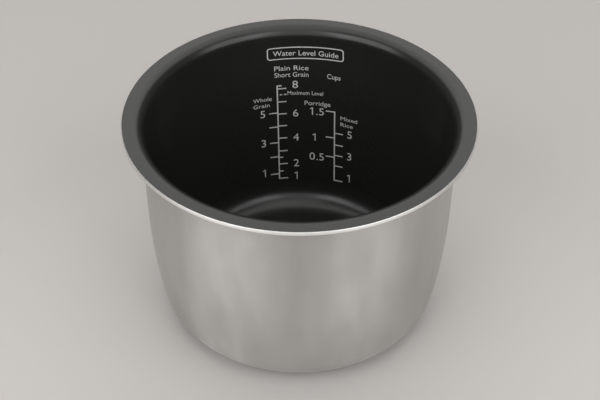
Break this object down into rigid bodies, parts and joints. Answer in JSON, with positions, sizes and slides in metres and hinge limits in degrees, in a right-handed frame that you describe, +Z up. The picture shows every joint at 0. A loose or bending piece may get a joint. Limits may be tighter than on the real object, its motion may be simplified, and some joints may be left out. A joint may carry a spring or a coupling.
{
  "type": "rice cooker inner pot",
  "caption": "Removable round cooking pot for a rice cooker: clad metal wall, wide rolled flange, dark non-stick inside with a printed water gauge.",
  "frame": {"origin": "centre of the base, on the surface the pot stands on", "axes": "+Z up along the pot's axis; +Y from the axis towards the side of the wall that carries the water gauge"},
  "size_m": [0.22, 0.22, 0.148],
  "materials": {
    "drawn_steel": "drawn and satin brushed, faint upright smears",
    "core_aluminium": "bright machined edge at the rim, plain where it is covered",
    "nonstick_coat": "satin fluoropolymer coat, dark grey",
    "gauge_ink": "flat pale grey print"
  },
  "bodies": {
    "root": {"aluminium_core": "core_aluminium", "label_frame": "gauge_ink", "left_scale": "gauge_ink", "max_dash_1": "gauge_ink", "max_dash_2": "gauge_ink", "nonstick_coat": "nonstick_coat", "plain_numeral_1": "gauge_ink", "plain_numeral_2": "gauge_ink", "plain_numeral_4": "gauge_ink", "plain_numeral_6": "gauge_ink", "plain_numeral_8": "gauge_ink", "porridge_half_last_5": "gauge_ink", "porridge_half_lead_0": "gauge_ink", "porridge_half_point": "gauge_ink", "porridge_numeral_1": "gauge_ink", "porridge_one_half_last_5": "gauge_ink", "porridge_one_half_lead_1": "gauge_ink", "porridge_one_half_point": "gauge_ink", "right_scale": "gauge_ink", "soft_numeral_1": "gauge_ink", "soft_numeral_3": "gauge_ink", "soft_numeral_5": "gauge_ink", "steel_skin": "drawn_steel", "whole_numeral_1": "gauge_ink", "whole_numeral_3": "gauge_ink", "whole_numeral_5": "gauge_ink"}
  },
  "joints": []
}
